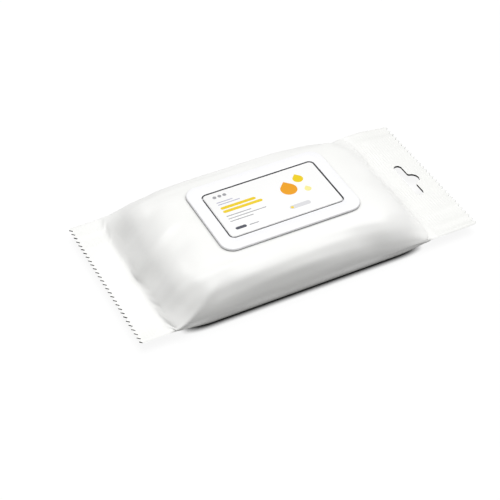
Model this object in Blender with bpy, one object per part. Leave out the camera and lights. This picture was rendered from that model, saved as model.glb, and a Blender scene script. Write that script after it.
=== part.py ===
"""Wet wipes pack: a filled film pouch with crimped, saw-cut end seals and a hanging slot, and a
rigid flip-top closure on its top face.

Metres. +X runs along the pack towards the hanging slot, +Y towards the lid's hinge side, and
+Z up. The origin is the middle of the underside.
"""

from math import acos, cos, pi, radians, sin, sqrt, tan

import bmesh
import bpy
from mathutils import Matrix, Vector

# Pouch
PACK_LENGTH = 0.2328  # between the tips of the saw-cut ends
PACK_WIDTH = 0.112
TOP_Z = 0.0294  # of the top film
SEAL_Z = 0.0065  # of the end seals' mid-plane
SEAL_THICKNESS = 0.0006
# Bends (start angle, end angle, radius) from the flat top down to each upright side
NEAR_SHOULDER = (
    (0, radians(18), 0.030),
    (radians(18), radians(33), 0.052),
    (radians(33), pi / 2, 0.0095),
)
FAR_SHOULDER = ((0, radians(35), 0.046), (radians(35), pi / 2, 0.0155))
FOOT = ((0, pi / 2, 0.005),)
PLAIN_SEAL_EDGE_X = -0.097  # inner edges of the two seals
SLOT_SEAL_EDGE_X = 0.0845
# Bends from the flat top down to each straight end slope
PLAIN_RAMP = ((0, radians(16), 0.070), (radians(16), radians(50), 0.024))
SLOT_RAMP = ((0, radians(18), 0.060), (radians(18), radians(52), 0.024))
UNDERSIDE_RUN = 0.028  # from a seal's inner edge to the flat underside

# Saw-cut ends
TOOTH_COUNT = 29
TOOTH_PITCH = PACK_WIDTH / TOOTH_COUNT
TOOTH_DEPTH = TOOTH_PITCH / 2

# Hanging slot: a round-ended slot with a round notch in the middle of its outer edge
SLOT_INNER_X = 0.097
SLOT_WIDTH = 0.0055
SLOT_LENGTH = 0.032
NOTCH_RADIUS = 0.0049
NOTCH_FILLET = 0.0015

# Closure, as (length along X, width along Y, corner radius)
CLOSURE_CENTRE = (-0.0014, -0.0009)
CLOSURE_OUTLINE = (0.0954, 0.0627, 0.0085)
RECESS_OUTLINE = (0.0792, 0.0442, 0.0038)
RIM_OUTLINE = (0.0680, 0.0330, 0.0060)
OPENING_OUTLINE = (0.0660, 0.0310, 0.0050)
CLOSURE_TOP_Z = 0.031
CLOSURE_HEIGHT = 0.0025
CLOSURE_EDGE_RADIUS = 0.0008
LEDGE_THICKNESS = 0.0006
RIM_HEIGHT = 0.0006
LID_GAP = 0.0009  # around the lid
LID_TOP_Z = CLOSURE_TOP_Z - 0.00045
LID_PANEL_THICKNESS = 0.00065
LID_SKIRT_HEIGHT = 0.0005
LID_SKIRT_WIDTH = 0.0008
LID_EDGE_RADIUS = 0.0004
HINGE_Z = LID_TOP_Z + 0.0002
HINGE_STRIP_LENGTH = 0.062
HINGE_STRIP_Z = (0.0301, 0.0304)

# Labels
LABEL_THICKNESS = 0.00015
LABEL_MARGIN = 0.0004  # between the lid's edge and its label's
PEEL_LABEL_OUTLINE = (0.0560, 0.0250, 0.0040)
PEEL_TAB = (0.0040, 0.0120, 0.0019)

GAP = 0.0003  # between pieces that touch
ARC_STEPS = 6
BEND_STEPS = 3
EDGE_STEPS = 3
SHARP_ANGLE = radians(30)


def clear_scene():
    for item in list(bpy.data.objects):
        bpy.data.objects.remove(item)


def material(name, colour, roughness):
    finish = bpy.data.materials.new(name)
    finish.use_nodes = True
    shader = finish.node_tree.nodes["Principled BSDF"]
    shader.inputs["Base Color"].default_value = (*colour, 1.0)
    shader.inputs["Roughness"].default_value = roughness
    shader.inputs["Metallic"].default_value = 0.0
    return finish


def add_object(name, bm, finish=None):
    """A new object from the mesh being edited, with its faces pointing out. A cutter takes no finish."""
    bmesh.ops.recalc_face_normals(bm, faces=bm.faces)
    mesh = bpy.data.meshes.new(name)
    bm.to_mesh(mesh)
    bm.free()
    if finish:
        mesh.materials.append(finish)
    piece = bpy.data.objects.new(name, mesh)
    bpy.context.collection.objects.link(piece)
    return piece


def cut_or_join(target, tool, operation):
    tool.hide_render = True
    tool.display_type = "WIRE"
    change = target.modifiers.new(tool.name, "BOOLEAN")
    change.operation = operation
    change.solver = "EXACT"
    change.object = tool


def arc(centre, radius, start, end, steps):
    """Points on an arc, both ends included. Angles are in radians from +X towards +Y."""
    angles = [start + (end - start) * i / steps for i in range(steps + 1)]
    return [(centre[0] + radius * cos(a), centre[1] + radius * sin(a)) for a in angles]


def rounded_rectangle(outline, inset=0.0, centre=CLOSURE_CENTRE):
    """The points of a rectangle with round corners, counter-clockwise from its +X side."""
    length, width, radius = (outline[0] - 2 * inset, outline[1] - 2 * inset, outline[2] - inset)
    points = []
    for index, (along, across) in enumerate(((1, 1), (-1, 1), (-1, -1), (1, -1))):
        corner = (
            centre[0] + along * (length / 2 - radius),
            centre[1] + across * (width / 2 - radius),
        )
        points += arc(corner, radius, index * pi / 2, (index + 1) * pi / 2, ARC_STEPS)
    return points


def rings_mesh(rings, closed):
    """Joins rings of equally many 3-D points. A closed stack ends on its first ring; an open one is capped."""
    bm = bmesh.new()
    loops = [[bm.verts.new(point) for point in ring] for ring in rings]
    pairs = list(zip(loops, loops[1:]))
    if closed:
        pairs.append((loops[-1], loops[0]))
    else:
        bm.faces.new(reversed(loops[0]))
        bm.faces.new(loops[-1])
    for lower, upper in pairs:
        count = len(lower)
        for i in range(count):
            following = (i + 1) % count
            bm.faces.new((lower[i], lower[following], upper[following], upper[i]))
    return bm


def prism(points, low, high):
    return rings_mesh([[(x, y, z) for x, y in points] for z in (low, high)], closed=False)


# Pouch


def slide(bends):
    """(run, drop) from a level start down through bends, each (start angle, end angle, radius)."""
    points = [(0.0, 0.0)]
    for start, end, radius in bends:
        run, drop = points[-1]
        for i in range(1, BEND_STEPS + 1):
            angle = start + (end - start) * i / BEND_STEPS
            points.append((run + radius * (sin(angle) - sin(start)), drop + radius * (cos(start) - cos(angle))))
    return points


def section():
    """One full cross-section as (y, z), from the seal line on the -Y side, over the top and back underneath."""
    half = PACK_WIDTH / 2
    near, far, foot = slide(NEAR_SHOULDER), slide(FAR_SHOULDER), slide(FOOT)
    near_flat, far_flat, foot_flat = (half - profile[-1][0] for profile in (near, far, foot))
    upper = [(-near_flat - run, TOP_Z - drop) for run, drop in reversed(near)]
    upper += [(far_flat + run, TOP_Z - drop) for run, drop in far]
    lower = [(foot_flat + run, drop) for run, drop in reversed(foot)]
    lower += [(-foot_flat - run, drop) for run, drop in foot]
    return [(-half, SEAL_Z)] + upper + [(half, SEAL_Z)] + lower


def ring(x, upper, lower):
    """The cross-section at x. The film over and under the seal's level is flat at 0 and full at 1."""
    points = []
    for y, z in section():
        half_film = SEAL_THICKNESS / 2 * ((z > SEAL_Z) - (z < SEAL_Z))
        rise = z - SEAL_Z - half_film
        points.append((x, y, SEAL_Z + half_film + (upper if z > SEAL_Z else lower) * rise))
    return points


def ramp(bends):
    """(run, upper, lower) from a seal's inner edge up to the flat top: a straight slope, then the bends."""
    height = TOP_Z - SEAL_Z
    crown = slide(bends)
    straight_rise = height - crown[-1][1]
    run_to_top = straight_rise / tan(bends[-1][1]) + crown[-1][0]
    steps = [(0.0, 0.0)]
    steps += [(run_to_top - run, 1 - drop / height) for run, drop in reversed(crown)]
    return [(run, upper, lowered(run)) for run, upper in steps]


def lowered(run):
    """How far the underside has come down from the seal's level to the ground."""
    share = min(run / UNDERSIDE_RUN, 1)
    return share * share * (3 - 2 * share)


def pouch_mesh():
    overhang = TOOTH_DEPTH  # cut away again with the teeth
    end = PACK_LENGTH / 2 + overhang
    plain = [(PLAIN_SEAL_EDGE_X + run, upper, lower) for run, upper, lower in ramp(PLAIN_RAMP)]
    slotted = [(SLOT_SEAL_EDGE_X - run, upper, lower) for run, upper, lower in ramp(SLOT_RAMP)]
    stations = [(-end, 0.0, 0.0)] + plain + slotted[::-1] + [(end, 0.0, 0.0)]
    return rings_mesh([ring(*station) for station in stations], closed=False)


def saw_cutter(side):
    """Everything beyond the saw-cut end on the given side, -1 or 1."""
    tip = PACK_LENGTH / 2
    beyond = side * (tip + 3 * TOOTH_DEPTH)
    last = 2 * TOOTH_COUNT + 1
    teeth = []
    for i in range(-1, last + 1):
        x = tip if i % 2 else tip - TOOTH_DEPTH
        teeth.append((side * x, i * TOOTH_PITCH / 2 - PACK_WIDTH / 2))
    outline = [(beyond, teeth[0][1])] + teeth + [(beyond, teeth[-1][1])]
    name = "saw_cutter_plain" if side < 0 else "saw_cutter_slotted"
    return add_object(name, prism(outline, SEAL_Z - TOOTH_DEPTH, SEAL_Z + TOOTH_DEPTH))


def slot_cutter():
    outer = SLOT_INNER_X + SLOT_WIDTH
    end_radius = SLOT_WIDTH / 2
    end_centre = (SLOT_INNER_X + end_radius, SLOT_LENGTH / 2 - end_radius)
    fillet_y = sqrt((NOTCH_RADIUS + NOTCH_FILLET) ** 2 - NOTCH_FILLET**2)
    meeting = acos(NOTCH_FILLET / (NOTCH_RADIUS + NOTCH_FILLET))
    far_end = arc(end_centre, end_radius, pi, 0, ARC_STEPS)
    fillet = arc((outer + NOTCH_FILLET, fillet_y), NOTCH_FILLET, pi, pi + meeting, ARC_STEPS // 2)
    notch = arc((outer, 0), NOTCH_RADIUS, meeting, 0, ARC_STEPS)
    half = far_end + fillet + notch
    outline = half + [(x, -y) for x, y in reversed(half[:-1])]
    return add_object("slot_cutter", prism(outline, SEAL_Z - TOOTH_DEPTH, SEAL_Z + TOOTH_DEPTH))


def closure_seat_cutter():
    """The shallow seat that the closure presses into the soft top."""
    floor = CLOSURE_TOP_Z - CLOSURE_HEIGHT - GAP
    outline = rounded_rectangle(CLOSURE_OUTLINE, inset=-GAP)
    return add_object("closure_seat_cutter", prism(outline, floor, CLOSURE_TOP_Z))


def make_wrapper():
    film = material("white_film", (0.86, 0.86, 0.84), 0.38)
    wrapper = add_object("wrapper", pouch_mesh(), film)
    wrapper.data.shade_smooth()
    wrapper.data.set_sharp_from_angle(angle=SHARP_ANGLE)
    for cutter in (saw_cutter(-1), saw_cutter(1), slot_cutter(), closure_seat_cutter()):
        cut_or_join(wrapper, cutter, "DIFFERENCE")


# Closure


def outline_ring(outline, z, inset=0.0):
    return [(x, y, z) for x, y in rounded_rectangle(outline, inset)]


def rounded_edge(outline, top, radius):
    """Rings over a rounded top edge, from the side up to the top face."""
    turns = [pi / 2 * i / EDGE_STEPS for i in range(EDGE_STEPS + 1)]
    return [outline_ring(outline, top - radius + radius * sin(a), radius * (1 - cos(a))) for a in turns]


def hinge_strip():
    """The thin land that the living hinge leaves in the gap behind the lid."""
    wall = CLOSURE_CENTRE[1] + RECESS_OUTLINE[1] / 2
    low_x = CLOSURE_CENTRE[0] - HINGE_STRIP_LENGTH / 2
    high_x = low_x + HINGE_STRIP_LENGTH
    edge = wall - LID_GAP / 2
    behind = wall + LID_GAP
    outline = [(low_x, edge), (high_x, edge), (high_x, behind), (low_x, behind)]
    return add_object("hinge_strip", prism(outline, *HINGE_STRIP_Z))


def make_closure_base():
    plastic = material("closure_plastic", (0.84, 0.84, 0.88), 0.3)
    bottom = CLOSURE_TOP_Z - CLOSURE_HEIGHT
    ledge = bottom + LEDGE_THICKNESS
    rim_top = ledge + RIM_HEIGHT
    rings = [outline_ring(CLOSURE_OUTLINE, bottom)]
    rings += rounded_edge(CLOSURE_OUTLINE, CLOSURE_TOP_Z, CLOSURE_EDGE_RADIUS)
    rings += [outline_ring(RECESS_OUTLINE, z) for z in (CLOSURE_TOP_Z, ledge)]
    rings += [outline_ring(RIM_OUTLINE, z) for z in (ledge, rim_top)]
    rings += [outline_ring(OPENING_OUTLINE, z) for z in (rim_top, bottom)]
    base = add_object("closure_base", rings_mesh(rings, closed=True), plastic)
    cut_or_join(base, hinge_strip(), "UNION")


def make_closure_lid():
    plastic = material("lid_plastic", (0.88, 0.88, 0.89), 0.25)
    outline = (
        RECESS_OUTLINE[0] - 2 * LID_GAP,
        RECESS_OUTLINE[1] - 2 * LID_GAP,
        RECESS_OUTLINE[2] - LID_GAP,
    )
    underside = LID_TOP_Z - LID_PANEL_THICKNESS
    bottom = underside - LID_SKIRT_HEIGHT
    rings = [outline_ring(outline, z, LID_SKIRT_WIDTH) for z in (underside, bottom)]
    rings += [outline_ring(outline, bottom)]
    rings += rounded_edge(outline, LID_TOP_Z, LID_EDGE_RADIUS)
    lid = add_object("closure_lid", rings_mesh(rings, closed=False), plastic)
    hinge = Vector((CLOSURE_CENTRE[0], CLOSURE_CENTRE[1] + RECESS_OUTLINE[1] / 2 - LID_GAP / 2, HINGE_Z))
    lid.data.transform(Matrix.Translation(-hinge))
    lid.location = hinge
    return outline


# Labels


def make_lid_label(lid_outline):
    paper = material("label_print", (0.9, 0.9, 0.89), 0.25)
    bottom = LID_TOP_Z + GAP
    points = rounded_rectangle(lid_outline, inset=LABEL_MARGIN)
    add_object("lid_label", prism(points, bottom, bottom + LABEL_THICKNESS), paper)


def make_peel_label():
    """A round-cornered label with a pull tab at its -X end."""
    film = material("peel_film", (0.80, 0.83, 0.87), 0.3)
    length, width, radius = PEEL_LABEL_OUTLINE
    tab_length, tab_width, tab_radius = PEEL_TAB
    x, y = CLOSURE_CENTRE
    body = rounded_rectangle(PEEL_LABEL_OUTLINE)
    corner = ARC_STEPS + 1
    end = x - length / 2 - tab_length + tab_radius
    side = tab_width / 2 - tab_radius
    tab = arc((end, y + side), tab_radius, pi / 2, pi, ARC_STEPS)
    tab += arc((end, y - side), tab_radius, pi, 1.5 * pi, ARC_STEPS)
    root = x - length / 2
    tab = [(root, y + tab_width / 2)] + tab + [(root, y - tab_width / 2)]
    points = body[: 2 * corner] + tab + body[2 * corner :]
    bottom = CLOSURE_TOP_Z - CLOSURE_HEIGHT
    add_object("peel_label", prism(points, bottom, bottom + LABEL_THICKNESS), film)


clear_scene()
make_wrapper()
make_closure_base()
make_lid_label(make_closure_lid())
make_peel_label()
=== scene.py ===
from math import acos, cos, pi, radians, sin, sqrt, tan

import bmesh
import bpy
import numpy as np
from mathutils import Matrix, Vector


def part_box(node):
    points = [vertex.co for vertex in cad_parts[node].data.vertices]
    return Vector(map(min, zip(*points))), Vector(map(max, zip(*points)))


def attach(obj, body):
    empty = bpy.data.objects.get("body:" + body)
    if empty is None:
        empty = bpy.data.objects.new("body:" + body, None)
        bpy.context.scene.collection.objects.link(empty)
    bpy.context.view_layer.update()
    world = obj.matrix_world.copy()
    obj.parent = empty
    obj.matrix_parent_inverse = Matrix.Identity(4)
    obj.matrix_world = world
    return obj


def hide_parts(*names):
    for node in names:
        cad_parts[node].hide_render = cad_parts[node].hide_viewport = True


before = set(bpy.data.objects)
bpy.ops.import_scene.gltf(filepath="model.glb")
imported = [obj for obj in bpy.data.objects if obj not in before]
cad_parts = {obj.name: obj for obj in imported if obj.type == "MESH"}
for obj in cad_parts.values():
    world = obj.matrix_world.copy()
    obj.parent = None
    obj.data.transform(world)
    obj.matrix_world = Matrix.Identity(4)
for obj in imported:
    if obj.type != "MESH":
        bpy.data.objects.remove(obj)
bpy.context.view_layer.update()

MM = 0.001

# Places taken from the frame
PACK_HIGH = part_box("wrapper")[1]
BASE_LOW, BASE_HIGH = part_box("closure_base")
LID_LOW, LID_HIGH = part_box("closure_lid")
LABEL_LOW, LABEL_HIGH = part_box("lid_label")
PEEL_LOW, PEEL_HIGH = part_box("peel_label")
CENTRE = (BASE_LOW + BASE_HIGH) / 2

# Pouch, in metres in the row frame
HALF_LENGTH = PACK_HIGH.x
HALF_WIDTH = PACK_HIGH.y
HALF_GIRTH = 0.070  # the scale of places round the upper film, from its middle to a side
TOP_Z = 0.0294
SEAL_Z = 0.0065
HALF_SEAL = 0.0004

# Bends (start angle, end angle, radius) from the level film down to each upright side
PLAIN_SHOULDER = ((0, radians(12), 0.030), (radians(12), pi / 2, 0.0135))
SLOT_SHOULDER = (
    (0, radians(18), 0.030),
    (radians(18), radians(31), 0.064),
    (radians(31), pi / 2, 0.0085),
)
FAR_SHOULDER = ((0, radians(35), 0.046), (radians(35), pi / 2, 0.0155))
FOOT = ((0, pi / 2, 0.005),)
# How much of the slotted end's gentle near shoulder there is along the pack
GENTLE_SHARE = (0.22, 0.82)
GENTLE_RISE_X = (-0.045, 0.025)
GENTLE_FALL_X = (0.030, 0.054)
GENTLE_FALL = 0.95

# Each end's slope: bends from the flat top down to a straight slope, and the valley at its foot
PLAIN_RAMP = ((0, radians(16), 0.070), (radians(16), radians(50), 0.024))
SLOT_RAMP = ((0, radians(18), 0.060), (radians(18), radians(52), 0.024))
PLAIN_VALLEY = 0.0045
SLOT_VALLEY = 0.0025
PLAIN_EDGE_X = -0.097
SLOT_EDGE_X = 0.0845
UNDERSIDE_RUN = 0.028
# Slack at the sides: how much slower the film climbs there, where it starts and where it is full
PLAIN_SLACK = (0.46, 0.40, 0.95)
SLOT_SLACK = (0.68, 0.30, 0.95)

# Saw-cut ends and the film's mesh
TOOTH_COUNT = 29
TOOTH_DEPTH = HALF_WIDTH / TOOTH_COUNT
COLUMNS = 4 * TOOTH_COUNT
SEAL_STEP = 0.38 * MM
SLOT_SEAL_ROWS = 86
BODY_STEP = 1.2 * MM
BEND_POINTS = 14

# Relief of the filled film, as (height, size of its features)
SWELL = (0.22 * MM, 26 * MM)
RUMPLE = (0.10 * MM, 9 * MM)
PLEATS = (0.22 * MM, 4.5 * MM)
STREAKS = (0.30 * MM, 5 * MM)
DENTS = (0.8 * MM, 15 * MM)

# Crimped seals
CRIMP_PITCH = 1.9 * MM
RIB_HEIGHT = 0.115 * MM
PLAIN_RIB_SHARE = 0.25
SLOW_CURL = (0.5 * MM, 42 * MM)
QUICK_CURL = (0.16 * MM, 12 * MM)
RAISED_CORNER = 2.4 * MM

# Closure's seat in the film, and the fin seam underneath
SEAT_RADIUS = 9 * MM
SEAT_CLEARANCE = 0.15 * MM
FIN_HALF_WIDTH = 6 * MM
FIN_DEPTH = 0.35 * MM

# Hanging slot: a round-ended slot with a round notch in the middle of its outer edge
SLOT_INNER_X = 0.097
SLOT_WIDTH = 0.0055
SLOT_LENGTH = 0.032
NOTCH_RADIUS = 0.0049
NOTCH_FILLET = 0.0015
SLOT_LIP_WALL = 0.15 * MM
SLOT_LIP_Z = (SEAL_Z - 1.1 * MM, SEAL_Z + 0.2 * MM)

# Folds of the upper film: start and end as (along the pack, round the girth), width and height, all in
# millimetres, and how much steeper one side is
FOLDS = (
    ((84, 52), (54, 40), 3.6, 0.7, 0.3),
    ((-98, -8), (-64, 10), 4.6, 1.4, 0.25),
    ((-98, -22), (-64, -8), 6.5, -1.0, 0.0),
    ((-98, 14), (-66, 30), 6.0, -1.0, 0.0),
    ((-92, -40), (-68, -38), 3.0, 0.5, 0.0),
    ((-97, -64), (-62, -47), 3.2, 0.9, 0.0),
    ((84, 8), (72, 13), 3.0, -0.6, 0.0),
    ((84, -10), (70, -13), 3.0, -0.5, 0.0),
    ((-60, -50), (30, -47), 3.0, 0.45, 0.2),
    ((-45, -60), (50, -58), 3.5, -0.50, 0.0),
    ((-78, -42), (-20, -37), 2.8, 0.40, 0.3),
    ((10, -41), (60, -44), 2.8, 0.34, 0.3),
    ((-60, 48), (40, 50), 3.0, 0.30, 0.2),
)


# ---------------------------------------------------------------- helpers


def mesh_object(name, vertices, faces):
    mesh = bpy.data.meshes.new(name)
    mesh.from_pydata([tuple(v) for v in vertices], [], faces)
    mesh.validate()
    mesh.update()
    piece = bpy.data.objects.new(name, mesh)
    bpy.context.collection.objects.link(piece)
    return piece


def smooth(piece, angle=35):
    piece.data.shade_smooth()
    piece.data.set_sharp_from_angle(angle=radians(angle))


def fix_normals(piece):
    bm = bmesh.new()
    bm.from_mesh(piece.data)
    bmesh.ops.recalc_face_normals(bm, faces=bm.faces)
    bm.to_mesh(piece.data)
    bm.free()


def apply_modifiers(piece):
    evaluated = piece.evaluated_get(bpy.context.evaluated_depsgraph_get())
    mesh = bpy.data.meshes.new_from_object(evaluated)
    piece.modifiers.clear()
    piece.data = mesh


def step(value, low, high):
    """0 below low, 1 above high, smooth between."""
    t = np.clip((value - low) / (high - low), 0, 1)
    return t * t * (3 - 2 * t)


NOISE_CELLS = 64
NOISE_SHIFT = (20.37, 20.71)  # keeps the cells' edges off the pack's middle lines


def soft_noise(x, y, size, seed):
    """Smooth noise from -1 to 1 with features of the given size, the same on every run."""
    draws = np.random.default_rng(seed).uniform(-1, 1, (NOISE_CELLS, NOISE_CELLS))
    u, v = x / size + NOISE_SHIFT[0], y / size + NOISE_SHIFT[1]
    i, j = np.floor(u).astype(int), np.floor(v).astype(int)
    fu, fv = step(u - i, 0, 1), step(v - j, 0, 1)

    def corner(di, dj):
        return draws[(i + di) % NOISE_CELLS, (j + dj) % NOISE_CELLS]

    low = corner(0, 0) * (1 - fu) + corner(1, 0) * fu
    high = corner(0, 1) * (1 - fu) + corner(1, 1) * fu
    return low * (1 - fv) + high * fv


def arc(centre, radius, start, end, steps):
    angles = [start + (end - start) * i / steps for i in range(steps + 1)]
    return [(centre[0] + radius * cos(a), centre[1] + radius * sin(a)) for a in angles]


def rounded_rectangle(length, width, radius, steps=14):
    """The points of a rectangle with round corners about the closure's centre."""
    points = []
    for index, (along, across) in enumerate(((1, 1), (-1, 1), (-1, -1), (1, -1))):
        corner = (
            CENTRE.x + along * (length / 2 - radius),
            CENTRE.y + across * (width / 2 - radius),
        )
        points += arc(corner, radius, index * pi / 2, (index + 1) * pi / 2, steps)
    return points


def rings_object(name, rings, closed):
    """A solid through rings of equally many points: closed on itself, or capped at both ends."""
    count = len(rings[0])
    vertices = [point for ring in rings for point in ring]
    faces = []
    last = len(rings) if closed else len(rings) - 1
    for r in range(last):
        lower, upper = r * count, (r + 1) % len(rings) * count
        for i in range(count):
            following = (i + 1) % count
            faces.append((lower + i, lower + following, upper + following, upper + i))
    if not closed:
        faces.append(tuple(range(count))[::-1])
        faces.append(tuple(range((len(rings) - 1) * count, len(rings) * count)))
    piece = mesh_object(name, vertices, faces)
    fix_normals(piece)
    return piece


# ---------------------------------------------------------------- materials


def shader(name, colour, roughness, coat=0.0, coat_roughness=0.1, specular=0.5):
    material = bpy.data.materials.new(name)
    material.use_nodes = True
    tree = material.node_tree
    principled = tree.nodes["Principled BSDF"]
    principled.inputs["Base Color"].default_value = (*colour, 1)
    principled.inputs["Roughness"].default_value = roughness
    principled.inputs["Coat Weight"].default_value = coat
    principled.inputs["Coat Roughness"].default_value = coat_roughness
    principled.inputs["Specular IOR Level"].default_value = specular
    return material, tree, principled


def object_coordinates(tree):
    return tree.nodes.new("ShaderNodeTexCoord").outputs["Object"]


def noise(tree, coordinates, scale, detail=3.0, roughness=0.5, stretch=None):
    if stretch:
        mapping = tree.nodes.new("ShaderNodeMapping")
        mapping.inputs["Scale"].default_value = stretch
        tree.links.new(coordinates, mapping.inputs["Vector"])
        coordinates = mapping.outputs["Vector"]
    node = tree.nodes.new("ShaderNodeTexNoise")
    node.inputs["Scale"].default_value = scale
    node.inputs["Detail"].default_value = detail
    node.inputs["Roughness"].default_value = roughness
    tree.links.new(coordinates, node.inputs["Vector"])
    return node.outputs["Fac"]


def map_range(tree, value, low, high, between=(0.3, 0.7)):
    """Low to high as the value goes over the given span, which by default is most of a noise's."""
    node = tree.nodes.new("ShaderNodeMapRange")
    node.inputs["From Min"].default_value = between[0]
    node.inputs["From Max"].default_value = between[1]
    node.inputs["To Min"].default_value = low
    node.inputs["To Max"].default_value = high
    tree.links.new(value, node.inputs["Value"])
    return node.outputs["Result"]


def mix_colour(tree, factor, first, second):
    """The first colour at factor 0, the second at 1. Each input is a value or another node's output."""
    node = tree.nodes.new("ShaderNodeMix")
    node.data_type = "RGBA"
    for socket, value in ((node.inputs[0], factor), (node.inputs[6], first), (node.inputs[7], second)):
        if isinstance(value, tuple):
            socket.default_value = (*value, 1)
        else:
            tree.links.new(value, socket)
    return node.outputs[2]


def bump(tree, principled, heights):
    """Chains bumps; heights is a list of (height output, strength, distance in metres)."""
    previous = None
    for height, strength, distance in heights:
        node = tree.nodes.new("ShaderNodeBump")
        node.inputs["Strength"].default_value = strength
        node.inputs["Distance"].default_value = distance
        tree.links.new(height, node.inputs["Height"])
        if previous:
            tree.links.new(previous, node.inputs["Normal"])
        previous = node.outputs["Normal"]
    tree.links.new(previous, principled.inputs["Normal"])


def openness(tree, reach, between):
    """1 in the open, down to 0 in a crease or next to the ground within reach."""
    occlusion = tree.nodes.new("ShaderNodeAmbientOcclusion")
    occlusion.inputs["Distance"].default_value = reach
    return map_range(tree, occlusion.outputs["AO"], 0, 1, between)


def film_material():
    """White laminate, a little darker over the slotted end's crimped seal, with painted shade in creases
    and at its foot.
    """
    material, tree, principled = shader("white_film", (0.87, 0.87, 0.855), 0.36, specular=0.45)
    where = object_coordinates(tree)
    patches = noise(tree, where, scale=22, detail=2)
    grain = noise(tree, where, scale=420, detail=3, roughness=0.6)
    ripples = noise(tree, where, scale=90, detail=3, roughness=0.55, stretch=(0.35, 1.0, 1.0))
    colour = mix_colour(tree, map_range(tree, patches, 0, 1), (0.864, 0.866, 0.847), (0.894, 0.894, 0.881))
    place = tree.nodes.new("ShaderNodeSeparateXYZ")
    tree.links.new(where, place.inputs[0])
    crimped = map_range(tree, place.outputs[0], 0, 1, (SLOT_EDGE_X, SLOT_EDGE_X + 3 * MM))
    colour = mix_colour(tree, crimped, colour, (0.835, 0.837, 0.818))
    # Painted shade: near-black mixed in by ambient occlusion in creases and along the foot next to the
    # ground
    colour = mix_colour(tree, openness(tree, 9 * MM, (0.02, 0.95)), (0.08, 0.08, 0.075), colour)
    tree.links.new(colour, principled.inputs["Base Color"])
    tree.links.new(map_range(tree, grain, 0.32, 0.42), principled.inputs["Roughness"])
    bump(tree, principled, [(ripples, 0.25, 0.4 * MM), (grain, 0.12, 0.05 * MM)])
    return material


def cut_edge_shade_material():
    # Painted shade: the film's narrow cut walls are coloured near-black for the shade they stand in
    material, tree, principled = shader("film_cut_edge_shade", (0.05, 0.05, 0.05), 0.8, specular=0.1)
    shade_speckle = noise(tree, object_coordinates(tree), scale=1500, detail=3)
    colour = mix_colour(tree, map_range(tree, shade_speckle, 0, 1), (0.035, 0.035, 0.035), (0.07, 0.07, 0.07))
    tree.links.new(colour, principled.inputs["Base Color"])
    return material


def gap_material():
    """The dark of a gap too narrow for light to reach into."""
    material, tree, principled = shader("shadow_gap", (0.10, 0.10, 0.11), 0.6)
    grain = noise(tree, object_coordinates(tree), scale=900, detail=2)
    colour = mix_colour(tree, map_range(tree, grain, 0, 1), (0.08, 0.08, 0.09), (0.13, 0.13, 0.14))
    tree.links.new(colour, principled.inputs["Base Color"])
    return material


def plastic_material(name, dark, light, roughness):
    material, tree, principled = shader(name, light, roughness)
    where = object_coordinates(tree)
    clouds = noise(tree, where, scale=35, detail=2)
    texture = noise(tree, where, scale=1800, detail=2)
    colour = mix_colour(tree, map_range(tree, clouds, 0, 1), dark, light)
    tree.links.new(colour, principled.inputs["Base Color"])
    sheen = map_range(tree, texture, roughness - 0.04, roughness + 0.04)
    tree.links.new(sheen, principled.inputs["Roughness"])
    bump(tree, principled, [(texture, 0.08, 0.03 * MM)])
    return material


# ---------------------------------------------------------------- pouch


def evenly_spaced(points, count):
    """Both coordinates of points evenly spaced along a polyline."""
    travelled = np.r_[0, np.cumsum(np.hypot(*np.diff(points, axis=0).T))]
    where = np.linspace(0, travelled[-1], count)
    return np.interp(where, travelled, points[:, 0]), np.interp(where, travelled, points[:, 1])


def slide(bends):
    """(run, drop) from a level start down through bends, each (start angle, end angle, radius)."""
    run, drop = [0.0], [0.0]
    for start, end, radius in bends:
        angles = np.linspace(start, end, BEND_POINTS)[1:]
        run_before, drop_before = run[-1], drop[-1]
        run += list(run_before + radius * (np.sin(angles) - sin(start)))
        drop += list(drop_before + radius * (cos(start) - np.cos(angles)))
    return np.array(run), np.array(drop)


def half_section(near, far, level):
    """(y, z) from the -Y seal line across to the +Y one, over a top or an underside at the given level,
    with the given bends towards each side."""
    side = 1 if level > SEAL_Z else -1
    run, drop = slide(near)
    near_side = np.stack([run[-1] - HALF_WIDTH - run, level - side * drop], axis=1)[::-1]
    run, drop = slide(far)
    far_side = np.stack([HALF_WIDTH - run[-1] + run, level - side * drop], axis=1)
    line = [[(-HALF_WIDTH, SEAL_Z)], near_side, far_side, [(HALF_WIDTH, SEAL_Z)]]
    return evenly_spaced(np.concatenate(line), COLUMNS + 1)


def full_sections(rows, upper):
    """Full (y, z) for every row: the upper film's near shoulder is gentlest right of the middle."""
    if not upper:
        y, z = half_section(FOOT, FOOT, 0.0)
        return y[None, :], z[None, :]
    plain, slotted = (half_section(near, FAR_SHOULDER, TOP_Z) for near in (PLAIN_SHOULDER, SLOT_SHOULDER))
    rising = GENTLE_SHARE[0] + (GENTLE_SHARE[1] - GENTLE_SHARE[0]) * step(rows, *GENTLE_RISE_X)
    share = (rising * (1 - GENTLE_FALL * step(rows, *GENTLE_FALL_X)))[:, None]
    return tuple(a * (1 - share) + b * share for a, b in zip(plain, slotted))


def climb(bends, valley_radius, distance):
    """Height over the seal at a distance in from its edge, up a valley bend, a straight slope and the bends
    into the top."""
    slope = bends[-1][1]
    run, drop = slide(bends)
    valley_run, valley_rise = slide(((0, slope, valley_radius),))
    height = TOP_Z - SEAL_Z
    straight_run = (height - drop[-1] - valley_rise[-1]) / tan(slope)
    lead = valley_radius * tan(slope / 2)
    top_run = valley_run[-1] - lead + straight_run + run[-1]
    runs = np.r_[valley_run - lead, top_run - run[::-1]]
    rises = np.r_[valley_rise, height - drop[::-1]]
    return np.interp(distance, runs, rises)


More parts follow.
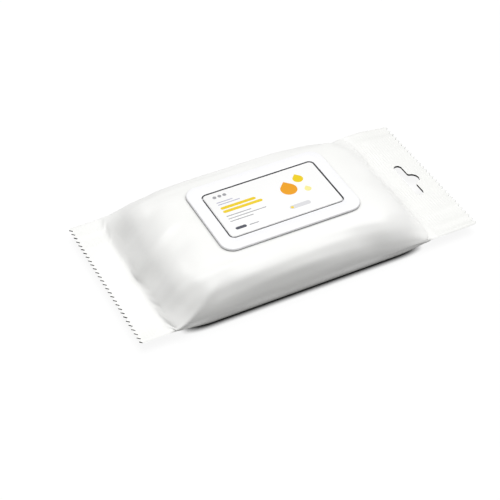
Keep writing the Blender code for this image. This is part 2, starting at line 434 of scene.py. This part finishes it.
def fullness(x, across):
    """0 on the seals, 1 along the filled body. The film climbs more slowly at its sides, across = 1."""
    plain_slack, slot_slack = (
        1 - amount * step(across, start, end) for amount, start, end in (PLAIN_SLACK, SLOT_SLACK)
    )
    plain = climb(PLAIN_RAMP, PLAIN_VALLEY, (x - PLAIN_EDGE_X) * plain_slack)
    slotted = climb(SLOT_RAMP, SLOT_VALLEY, (SLOT_EDGE_X - x) * slot_slack)
    return np.minimum(plain, slotted) / (TOP_Z - SEAL_Z)


def lowered(x):
    """0 on the seals, 1 where the underside lies on the ground."""
    return step(x - PLAIN_EDGE_X, 0, UNDERSIDE_RUN) * step(SLOT_EDGE_X + 2 * MM - x, 0, UNDERSIDE_RUN)


def fold(x, t, start, end, width, height, lean):
    """Height of one fold of FOLDS: tallest halfway, and steeper on one side where it leans."""
    a, b = np.array(start) * MM, np.array(end) * MM
    along = b - a
    length = np.hypot(*along)
    u = ((x - a[0]) * along[0] + (t - a[1]) * along[1]) / length**2
    across = ((x - a[0]) * -along[1] + (t - a[1]) * along[0]) / length
    spread = width * MM * (1 + lean * np.sign(across))
    fade = step(u, -0.15, 0.3) * (1 - step(u, 0.7, 1.15))
    return height * MM * fade * np.exp(-((across / spread) ** 2))


def top_relief(x, t, full):
    """How far the filled film stands off its smooth form, at t round the girth from the top's middle."""

    def relief(kind, seed, stretch=1.0):
        return kind[0] * soft_noise(x * stretch, t, kind[1], seed)

    on_slope = step(full, 0.02, 0.25) * (1 - step(full, 0.85, 1.0))
    lift = (relief(SWELL, 3) + relief(RUMPLE, 4)) * step(full, 0.0, 0.2)
    lift += relief(PLEATS, 5, stretch=0.16) * step(full, 0.0, 0.05) * (1 - step(full, 0.3, 0.9))
    lift += relief(STREAKS, 6, stretch=0.12) * step(np.abs(t), 30 * MM, 42 * MM)
    lift += relief(DENTS, 8) * on_slope
    for entry in FOLDS:
        lift += fold(x, t, *entry) * step(full, 0.0, 0.05)
    return lift


def seal_waves(x, y, full):
    """Height of the crimped seals: fine ribs across the pack, the sheet's curl and one raised corner."""
    flat = 1 - step(full, 0.0, 0.02)
    plain = step(PLAIN_EDGE_X - x, 1 * MM, 3 * MM)
    slotted = step(x - SLOT_EDGE_X, 0.0, 2 * MM)
    strength = slotted * (0.5 + 0.5 * soft_noise(x, y, 14 * MM, 11)) + PLAIN_RIB_SHARE * plain
    ribs = RIB_HEIGHT * np.sin(2 * pi * x / CRIMP_PITCH) * strength
    curl = SLOW_CURL[0] * soft_noise(x, y, SLOW_CURL[1], 12)
    curl += QUICK_CURL[0] * soft_noise(x, y, QUICK_CURL[1], 13)
    curl *= step(np.abs(x), 0.09, HALF_LENGTH)
    near_edge = step(x, 70 * MM, 86 * MM) * (1 - step(x, 92 * MM, 116 * MM))
    raised = RAISED_CORNER * step(y, 15 * MM, 56 * MM) * near_edge
    return flat * ribs + curl + raised


def outside_closure(x, y):
    """Distance outside the closure's outline, negative inside it."""
    half_x = (BASE_HIGH.x - BASE_LOW.x) / 2 - SEAT_RADIUS
    half_y = (BASE_HIGH.y - BASE_LOW.y) / 2 - SEAT_RADIUS
    dx = np.maximum(np.abs(x - CENTRE.x) - half_x, 0)
    dy = np.maximum(np.abs(y - CENTRE.y) - half_y, 0)
    return np.hypot(dx, dy) - SEAT_RADIUS


def back_fin(y):
    """The underside's long seam: a flat fin that lies under a film kept just clear of the ground."""
    beside = step(np.abs(y), FIN_HALF_WIDTH - 0.5 * MM, FIN_HALF_WIDTH + 0.5 * MM)
    return FIN_DEPTH * beside


def stations():
    """X of each row of the film's mesh: close together on the crimped seals."""
    plain = np.arange(-HALF_LENGTH, PLAIN_EDGE_X, SEAL_STEP)
    body = np.arange(PLAIN_EDGE_X, SLOT_EDGE_X + 1 * MM, BODY_STEP)
    slotted = np.linspace(SLOT_EDGE_X + 2 * MM, HALF_LENGTH, SLOT_SEAL_ROWS)
    return np.r_[plain, body, slotted]


def saw_cut(x, share):
    """Pulls the rows nearest each end in between the teeth."""
    tooth = TOOTH_DEPTH * (1 - np.abs(((share * TOOTH_COUNT) % 1) * 2 - 1))
    near_end = 1 - step(HALF_LENGTH - np.abs(x), 0, 3 * MM)
    return x - np.sign(x) * (TOOTH_DEPTH - tooth) * near_end


def plain_surface(rows, share, full, upper):
    """Grid of points without creases: flat seals that open into the full sections."""
    full_y, full_z = full_sections(rows, upper)
    spread = step(full, 0.0, 0.12)
    y = (2 * share - 1) * HALF_WIDTH * (1 - spread) + full_y * spread
    half_seal = HALF_SEAL * (1 if upper else -1) * np.ones(COLUMNS + 1)
    half_seal[[0, -1]] = 0
    z = SEAL_Z + half_seal + full * (full_z - SEAL_Z - half_seal)
    x = saw_cut(np.repeat(rows[:, None], COLUMNS + 1, axis=1), share)
    return np.stack([x, y, z], axis=-1)


def creased(points, side, full):
    """The upper film with its relief and its dip under the closure. side is -1 to 1 across the film."""
    x, y, z = np.moveaxis(points, -1, 0)
    t = np.repeat((side * HALF_GIRTH)[None, :], len(points), axis=0)
    outside = outside_closure(x, y)
    calm = step(outside, 0.0, 9 * MM) * 0.85 + 0.15
    calm = calm * step(1 - np.abs(side), 0.0, 0.03)
    lifted = points + grid_normals(points) * (top_relief(x, t, full) * calm)[..., None]
    depth = TOP_Z - BASE_LOW.z + SEAT_CLEARANCE
    dip = depth * (1 - step(outside, -3.2 * MM, -1.4 * MM))
    lifted[..., 2] -= dip * (z > TOP_Z - 3 * MM) * (full > 0.9)
    return lifted


def film_surface(upper):
    """Grid of points, rows along X and columns around the girth, for the upper or the lower film."""
    rows = stations()
    share = np.linspace(0, 1, COLUMNS + 1)
    side = 2 * share - 1
    full = fullness(rows[:, None], np.abs(side)[None, :]) if upper else lowered(rows)[:, None]
    plain = plain_surface(rows, share, full, upper)
    x, y, z = np.moveaxis(plain, -1, 0)
    if upper:
        points = creased(plain, side, full)
    else:
        points = plain.copy()
        points[..., 2] += back_fin(y) * step(full, 0.6, 1.0) * (z < SEAL_Z - 2 * MM)
    points[..., 2] += seal_waves(x, y, full)
    return points


def grid_normals(points):
    normals = np.cross(np.gradient(points, axis=0), np.gradient(points, axis=1))
    return normals / (np.linalg.norm(normals, axis=-1, keepdims=True) + 1e-12)


def film_mesh():
    """Upper and lower film as one closed skin, joined along their common rim."""
    upper, lower = film_surface(True), film_surface(False)
    rim = (upper + lower) / 2
    for grid in (upper, lower):
        for edge in (np.s_[:, 0], np.s_[:, -1]):
            grid[edge] = rim[edge]
    rows, columns = upper.shape[:2]
    index = np.arange(rows * columns).reshape(rows, columns)
    under = index + rows * columns
    under[:, 0], under[:, -1] = index[:, 0], index[:, -1]
    faces = []
    for i in range(rows - 1):
        for j in range(columns - 1):
            faces.append((index[i, j], index[i + 1, j], index[i + 1, j + 1], index[i, j + 1]))
            faces.append((under[i, j], under[i, j + 1], under[i + 1, j + 1], under[i + 1, j]))
    for i, turned in ((0, False), (rows - 1, True)):
        for j in range(columns - 1):
            face = [index[i, j], index[i, j + 1], under[i, j + 1], under[i, j]]
            face = list(dict.fromkeys(face))
            faces.append(tuple(face[::-1] if turned else face))
    return np.concatenate([upper.reshape(-1, 3), lower.reshape(-1, 3)]), faces


def slot_outline():
    outer = SLOT_INNER_X + SLOT_WIDTH
    end_radius = SLOT_WIDTH / 2
    end_centre = (SLOT_INNER_X + end_radius, SLOT_LENGTH / 2 - end_radius)
    fillet_y = sqrt((NOTCH_RADIUS + NOTCH_FILLET) ** 2 - NOTCH_FILLET**2)
    meeting = acos(NOTCH_FILLET / (NOTCH_RADIUS + NOTCH_FILLET))
    half = arc(end_centre, end_radius, pi, 0, 14)
    half += arc((outer + NOTCH_FILLET, fillet_y), NOTCH_FILLET, pi, pi + meeting, 6)
    half += arc((outer, 0), NOTCH_RADIUS, meeting, 0, 16)
    return half + [(x, -y) for x, y in reversed(half[:-1])]


def punch_slot(pouch):
    rings = [[(x, y, z) for x, y in slot_outline()] for z in (0.0, 20 * MM)]
    cutter = rings_object("slot_punch", rings, closed=False)
    punch = pouch.modifiers.new("slot", "BOOLEAN")
    punch.object = cutter
    punch.operation = "DIFFERENCE"
    punch.solver = "MANIFOLD"
    apply_modifiers(pouch)
    bpy.data.objects.remove(cutter)


def line_slot(pouch):
    """Turns the slot's punched edge down a little, so that its cut wall stands deeper than the film; in the
    cut walls' near-black it makes a painted shadow line round the slot.
    """
    middle = Vector((SLOT_INNER_X + SLOT_WIDTH / 2, 0))
    outline = [Vector(point) for point in slot_outline()]
    outer = [point + (point - middle).normalized() * SLOT_LIP_WALL for point in outline]
    low, high = SLOT_LIP_Z
    levels = ((outline, low), (outline, high), (outer, high), (outer, low))
    lip = rings_object("slot_lip", [[(*point, z) for point in line] for line, z in levels], closed=True)
    bm = bmesh.new()
    bm.from_mesh(pouch.data)
    bm.from_mesh(lip.data)
    bm.to_mesh(pouch.data)
    bm.free()
    bpy.data.objects.remove(lip)


def shade_cut_edges(pouch):
    """Gives the cut walls of the saw teeth and of the slot a near-black material: painted shade, since
    these narrow upright walls get little light.
    """
    pouch.data.materials.append(cut_edge_shade_material())
    for face in pouch.data.polygons:
        in_seal = abs(face.center.z - SEAL_Z) < 3 * MM and abs(face.center.x) > 0.095
        upright = abs(face.normal.z) < 0.3
        inside = abs(face.center.y) < HALF_WIDTH - 0.3 * MM
        face.material_index = 1 if in_seal and upright and inside else 0


def make_pouch():
    vertices, faces = film_mesh()
    pouch = mesh_object("film_pouch", vertices, faces)
    bm = bmesh.new()
    bm.from_mesh(pouch.data)
    loose = [v for v in bm.verts if not v.link_faces]
    bmesh.ops.delete(bm, geom=loose, context="VERTS")
    bmesh.ops.recalc_face_normals(bm, faces=bm.faces)
    bm.to_mesh(pouch.data)
    bm.free()
    punch_slot(pouch)
    line_slot(pouch)
    pouch.data.materials.clear()
    pouch.data.materials.append(film_material())
    shade_cut_edges(pouch)
    smooth(pouch, 40)
    return pouch


# ---------------------------------------------------------------- closure


def inset(size, distance):
    return (size[0] - 2 * distance, size[1] - 2 * distance, max(size[2] - distance, 0.2 * MM))


# Rounded rectangles about the closure's centre, as (length, width, radius)
OUTLINE = (BASE_HIGH.x - BASE_LOW.x, BASE_HIGH.y - BASE_LOW.y, 8.5 * MM)
LID_SIZE = (LID_HIGH.x - LID_LOW.x, LID_HIGH.y - LID_LOW.y, 2.9 * MM)
LABEL_SIZE = (LABEL_HIGH.x - LABEL_LOW.x, LABEL_HIGH.y - LABEL_LOW.y, 2.5 * MM)
LID_GAP = 0.9 * MM
RECESS_SIZE = inset(LID_SIZE, -LID_GAP)
RIM_SIZE = (68 * MM, 33 * MM, 6 * MM)
OPENING_SIZE = (66 * MM, 31 * MM, 5 * MM)

LEDGE_THICKNESS = 0.6 * MM
RIM_HEIGHT = 0.6 * MM
RIM_EDGE_RADIUS = 0.25 * MM
FRAME_EDGE_RADIUS = 0.8 * MM
RECESS_EDGE_RADIUS = 0.2 * MM
FRAME_SHADOW_Z = TOP_Z + 0.35 * MM  # the frame's wall is dark up to here

LID_SKIRT_HEIGHT = 0.5 * MM
LID_SKIRT_WIDTH = 0.8 * MM
LID_EDGE_RADIUS = 0.35 * MM
LID_BELOW_LABEL = 0.14 * MM  # from the label's top down to the lid's
LABEL_THICKNESS = 0.13 * MM
LABEL_EDGE_RADIUS = 0.06 * MM


def ring(size, z):
    return [(x, y, z) for x, y in rounded_rectangle(*size)]


def rounded_over(size, z, radius, steps=5):
    """Rings round a top outer edge, from the side up to the top face."""
    turns = [pi / 2 * i / steps for i in range(steps + 1)]
    return [ring(inset(size, radius * (1 - cos(a))), z - radius + radius * sin(a)) for a in turns]


def rounded_into(size, z, radius, steps=3):
    """Rings round a hole's top edge, from the top face down into the hole."""
    turns = [pi / 2 * i / steps for i in range(steps, -1, -1)]
    return [ring(inset(size, -radius * (1 - cos(a))), z - radius + radius * sin(a)) for a in turns]


def beyond(face, size, margin):
    """Whether a face lies outside a rectangle of the given size, less a margin all round."""
    x, y = abs(face.center.x - CENTRE.x), abs(face.center.y - CENTRE.y)
    return x > size[0] / 2 - margin or y > size[1] / 2 - margin


def darken_walls(piece, bands):
    """Gives the upright faces between two heights and in a region the dark material of a shadowed gap."""
    piece.data.materials.append(gap_material())
    for face in piece.data.polygons:
        upright = abs(face.normal.z) < 0.25
        if upright and any(low < face.center.z < high and test(face) for low, high, test in bands):
            face.material_index = 1


def make_closure_frame():
    top, bottom = BASE_HIGH.z, BASE_LOW.z
    ledge = bottom + LEDGE_THICKNESS
    rim_top = ledge + RIM_HEIGHT
    rings = [ring(OUTLINE, bottom), ring(OUTLINE, FRAME_SHADOW_Z)]
    rings += rounded_over(OUTLINE, top, FRAME_EDGE_RADIUS)
    rings += rounded_into(RECESS_SIZE, top, RECESS_EDGE_RADIUS)
    rings += [ring(RECESS_SIZE, ledge), ring(RIM_SIZE, ledge)]
    rings += rounded_over(RIM_SIZE, rim_top, RIM_EDGE_RADIUS, 3)
    rings += [ring(OPENING_SIZE, rim_top), ring(OPENING_SIZE, bottom)]
    piece = rings_object("closure_frame", rings, closed=True)
    material = plastic_material("closure_plastic", (0.88, 0.88, 0.90), (0.90, 0.90, 0.915), 0.3)
    piece.data.materials.append(material)

    def outer(face):
        return beyond(face, OUTLINE, 4 * MM)

    def recess(face):
        return beyond(face, RIM_SIZE, -1 * MM) and not outer(face)

    darken_walls(piece, [(bottom, FRAME_SHADOW_Z, outer), (ledge, top - RECESS_EDGE_RADIUS, recess)])
    smooth(piece)
    return piece


def make_lid():
    top = LABEL_HIGH.z - LID_BELOW_LABEL
    bottom = LID_LOW.z
    rings = [ring(inset(LID_SIZE, LID_SKIRT_WIDTH), z) for z in (bottom + LID_SKIRT_HEIGHT, bottom)]
    rings += [ring(LID_SIZE, bottom)]
    rings += rounded_over(LID_SIZE, top, LID_EDGE_RADIUS)
    piece = rings_object("lid_panel", rings, closed=False)
    material = plastic_material("lid_plastic", (0.85, 0.85, 0.86), (0.88, 0.88, 0.885), 0.22)
    piece.data.materials.append(material)

    def side(face):
        return beyond(face, LID_SIZE, 0.4 * MM)

    darken_walls(piece, [(bottom, top - LID_EDGE_RADIUS, side)])
    smooth(piece)
    return piece


class Print:
    """Plain shapes painted over a label, in millimetres from its middle."""

    def __init__(self, tree, ground):
        self.tree = tree
        self.colour = ground
        where = tree.nodes.new("ShaderNodeSeparateXYZ")
        tree.links.new(object_coordinates(tree), where.inputs[0])
        self.x = self.math("DIVIDE", self.math("SUBTRACT", where.outputs[0], CENTRE.x), MM)
        self.y = self.math("DIVIDE", self.math("SUBTRACT", where.outputs[1], CENTRE.y), MM)

    def math(self, operation, first, second=0.0):
        node = self.tree.nodes.new("ShaderNodeMath")
        node.operation = operation
        for socket, value in zip(node.inputs, (first, second)):
            if isinstance(value, (int, float)):
                socket.default_value = value
            else:
                self.tree.links.new(value, socket)
        return node.outputs[0]

    def away(self, x, y):
        return self.math("SUBTRACT", self.x, x), self.math("SUBTRACT", self.y, y)

    def paint(self, mask, colour):
        self.colour = mix_colour(self.tree, mask, self.colour, colour)

    def bar(self, left, y, length, height, colour):
        """A bar with rounded ends."""
        half = (length - height) / 2
        dx, dy = self.away(left + length / 2, y)
        over = self.math("MAXIMUM", self.math("SUBTRACT", self.math("ABSOLUTE", dx), half), 0)
        reach = self.math("ADD", self.math("POWER", over, 2), self.math("MULTIPLY", dy, dy))
        self.paint(self.math("LESS_THAN", reach, (height / 2) ** 2), colour)

    def disc(self, x, y, radius, colour):
        dx, dy = self.away(x, y)
        reach = self.math("ADD", self.math("MULTIPLY", dx, dx), self.math("MULTIPLY", dy, dy))
        self.paint(self.math("LESS_THAN", reach, radius**2), colour)

    def drop(self, x, y, radius, colour):
        """A disc with a pointed top."""
        self.disc(x, y, radius, colour)
        dx, dy = self.away(x, y)
        above = self.math("GREATER_THAN", dy, radius / sqrt(2))
        diamond = self.math("LESS_THAN", self.math("ADD", self.math("ABSOLUTE", dx), dy), radius * sqrt(2))
        self.paint(self.math("MULTIPLY", above, diamond), colour)


ORANGE = (0.80, 0.33, 0.0)
YELLOW = (0.80, 0.58, 0.0)
PALE_YELLOW = (0.88, 0.80, 0.30)
GREY = (0.34, 0.34, 0.36)
LAVENDER = (0.44, 0.44, 0.56)
NAVY = (0.03, 0.035, 0.06)
PALE_GREY = (0.66, 0.66, 0.68)
LABEL_WHITE = (0.90, 0.90, 0.895)
PRINT_LEFT = -33.2


def label_material():
    material, tree, principled = shader(
        "label_print", LABEL_WHITE, 0.34, coat=0.1, coat_roughness=0.08, specular=0.3
    )
    art = Print(tree, LABEL_WHITE)
    for x in (-32.0, -28.6, -25.2):
        art.disc(x, 16.6, 1.25, GREY)
    for y, length in ((11.2, 11), (9.1, 15)):
        art.bar(PRINT_LEFT, y, length, 0.8, LAVENDER)
    for y, length in ((5.4, 24), (1.9, 27)):
        art.bar(PRINT_LEFT, y, length, 2.4, YELLOW)
    for y, length in ((-2.6, 17), (-5.2, 26), (-7.8, 16)):
        art.bar(PRINT_LEFT, y, length, 0.8, GREY)
    art.bar(PRINT_LEFT, -15.0, 7.5, 2.4, NAVY)
    art.bar(-24.0, -15.4, 6.5, 0.9, GREY)
    art.drop(13.0, 3.2, 5.4, ORANGE)
    art.drop(22.8, 9.6, 3.4, YELLOW)
    art.drop(24.0, -1.6, 2.2, PALE_YELLOW)
    art.bar(5.0, -13.0, 14.5, 3.4, PALE_GREY)
    art.disc(6.8, -13.0, 1.0, YELLOW)
    tree.links.new(art.colour, principled.inputs["Base Color"])
    texture = noise(tree, object_coordinates(tree), scale=700, detail=2)
    bump(tree, principled, [(texture, 0.05, 0.03 * MM)])
    return material


def make_lid_label():
    rings = [ring(LABEL_SIZE, LABEL_HIGH.z - LABEL_THICKNESS)]
    rings += rounded_over(LABEL_SIZE, LABEL_HIGH.z, LABEL_EDGE_RADIUS, 2)
    piece = rings_object("lid_print", rings, closed=False)
    piece.data.materials.append(label_material())
    smooth(piece)
    return piece


PEEL_RADIUS = 4 * MM
PEEL_TAB = (4 * MM, 12 * MM, 1.9 * MM)  # length, width, radius
PEEL_SINK = 0.1 * MM


def peel_outline():
    """A rectangle with round corners, and a pull tab at its -X end."""
    low, high = PEEL_LOW, PEEL_HIGH
    tab_length, tab_width, tab_radius = PEEL_TAB
    length, width = high.x - low.x - tab_length, high.y - low.y
    x, y = high.x - length / 2, (low.y + high.y) / 2
    reach_x, reach_y = length / 2 - PEEL_RADIUS, width / 2 - PEEL_RADIUS
    root = x - length / 2
    end, side = root - tab_length + tab_radius, tab_width / 2 - tab_radius
    outline = arc((x + reach_x, y + reach_y), PEEL_RADIUS, 0, pi / 2, 10)
    outline += arc((x - reach_x, y + reach_y), PEEL_RADIUS, pi / 2, pi, 10)
    outline += [(root, y + tab_width / 2)]
    outline += arc((end, y + side), tab_radius, pi / 2, pi, 8)
    outline += arc((end, y - side), tab_radius, pi, 1.5 * pi, 8)
    outline += [(root, y - tab_width / 2)]
    outline += arc((x - reach_x, y - reach_y), PEEL_RADIUS, pi, 1.5 * pi, 10)
    return outline + arc((x + reach_x, y - reach_y), PEEL_RADIUS, 1.5 * pi, 2 * pi, 10)


def peel_material():
    material, tree, principled = shader("peel_film", (0.72, 0.78, 0.85), 0.25, coat=0.3)
    clouds = noise(tree, object_coordinates(tree), scale=60, detail=3)
    colour = mix_colour(tree, map_range(tree, clouds, 0, 1), (0.68, 0.75, 0.83), (0.76, 0.81, 0.87))
    tree.links.new(colour, principled.inputs["Base Color"])
    bump(tree, principled, [(clouds, 0.3, 0.3 * MM)])
    return material


def make_peel_label():
    levels = (PEEL_LOW.z - PEEL_SINK, PEEL_HIGH.z)
    rings = [[(x, y, z) for x, y in peel_outline()] for z in levels]
    piece = rings_object("peel_seal", rings, closed=False)
    piece.data.materials.append(peel_material())
    smooth(piece)
    return piece


# ---------------------------------------------------------------- stage

BLACK = (0.0, 0.0, 0.0)
WHITE = (1.0, 1.0, 1.0)
FLOOR_HALF_SIZE = 6.0
FLOOR_SEEN = (0.10, 0.10, 0.10)
FLOOR_BOUNCE = (0.47, 0.47, 0.47)
FLOOR_GLOW = 0.91
# Reach and range of the floor's painted contact shadow
CONTACT_SHADOW_REACH = 0.0055
CONTACT_SHADOW_RANGE = (0.30, 0.72)
KEY_DIRECTION = (0.22, 0.20, 0.955)
KEY_STRENGTH = 2.44
KEY_ANGLE = radians(60)
AMBIENT = (0.38, 0.38, 0.38)


def seen_or_not(tree, unseen, seen):
    """A shader that the camera sees as one thing, and that lights the scene as another."""
    path = tree.nodes.new("ShaderNodeLightPath")
    mix = tree.nodes.new("ShaderNodeMixShader")
    tree.links.new(path.outputs["Is Camera Ray"], mix.inputs[0])
    tree.links.new(unseen, mix.inputs[1])
    tree.links.new(seen, mix.inputs[2])
    return mix.outputs[0]


def make_floor():
    """White to the camera, with a painted contact shadow: a dark line where something touches it. Its
    bounce light is dimmer.
    """
    far = FLOOR_HALF_SIZE
    corners = [(-far, -far, 0), (far, -far, 0), (far, far, 0), (-far, far, 0)]
    floor = mesh_object("floor", corners, [(0, 1, 2, 3)])
    material, tree, principled = shader("floor_white", FLOOR_SEEN, 0.9, specular=0.0)
    principled.inputs["Emission Strength"].default_value = FLOOR_GLOW
    # Painted contact shadow: the floor's glow and colour fade to black by ambient occlusion next to the
    # pack
    lit = openness(tree, CONTACT_SHADOW_REACH, CONTACT_SHADOW_RANGE)
    tree.links.new(mix_colour(tree, lit, BLACK, WHITE), principled.inputs["Emission Color"])
    tree.links.new(mix_colour(tree, lit, BLACK, FLOOR_SEEN), principled.inputs["Base Color"])
    bounce = tree.nodes.new("ShaderNodeBsdfDiffuse")
    bounce.inputs["Color"].default_value = (*FLOOR_BOUNCE, 1)
    surface = seen_or_not(tree, bounce.outputs[0], principled.outputs[0])
    tree.links.new(surface, tree.nodes["Material Output"].inputs["Surface"])
    floor.data.materials.append(material)


def make_light():
    """One large soft light from above, and even surroundings that the camera sees as white."""
    sun = bpy.data.lights.new("key", "SUN")
    sun.energy = KEY_STRENGTH
    sun.angle = KEY_ANGLE
    key = bpy.data.objects.new("key", sun)
    key.rotation_euler = Vector(KEY_DIRECTION).to_track_quat("Z", "Y").to_euler()
    bpy.context.collection.objects.link(key)
    world = bpy.data.worlds.new("studio")
    bpy.context.scene.world = world
    world.use_nodes = True
    tree = world.node_tree
    background = tree.nodes["Background"]
    background.inputs["Color"].default_value = (*AMBIENT, 1)
    white = tree.nodes.new("ShaderNodeBackground")
    white.inputs["Color"].default_value = (*WHITE, 1)
    surface = seen_or_not(tree, background.outputs[0], white.outputs[0])
    tree.links.new(surface, tree.nodes["World Output"].inputs["Surface"])
    bpy.context.scene.view_settings.view_transform = "Standard"


CAMERA_AZIMUTH = radians(-27.42)
CAMERA_ELEVATION = radians(42.62)
CAMERA_ROLL = radians(0.38)
CAMERA_AIM = Vector((-0.01793, -0.00269, -0.00417))
CAMERA_DISTANCE = 0.912
CAMERA_LENS = 104.26


def make_camera():
    a, e = CAMERA_AZIMUTH, CAMERA_ELEVATION
    back = Vector((sin(a) * cos(e), -cos(a) * cos(e), sin(e)))
    right = (-back).cross(Vector((0, 0, 1))).normalized()
    up = back.cross(right)
    tilted_right = right * cos(CAMERA_ROLL) + up * sin(CAMERA_ROLL)
    tilted_up = up * cos(CAMERA_ROLL) - right * sin(CAMERA_ROLL)
    data = bpy.data.cameras.new("camera")
    data.lens = CAMERA_LENS
    data.clip_start = 0.01
    camera = bpy.data.objects.new("camera", data)
    turn = Matrix((tilted_right, tilted_up, back)).transposed().to_4x4()
    camera.matrix_world = Matrix.Translation(CAMERA_AIM + back * CAMERA_DISTANCE) @ turn
    bpy.context.collection.objects.link(camera)
    bpy.context.scene.camera = camera


# ---------------------------------------------------------------- scene

for maker, body, slot, node in (
    (make_pouch, "root", "white_film", "wrapper"),
    (make_closure_frame, "root", "closure_plastic", "closure_base"),
    (make_peel_label, "root", "peel_film", "peel_label"),
    (make_lid, "lid", "lid_plastic", "closure_lid"),
    (make_lid_label, "lid", "label_print", "lid_label"),
):
    piece = maker()
    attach(piece, body)
    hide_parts(node)

make_floor()
make_light()
make_camera()
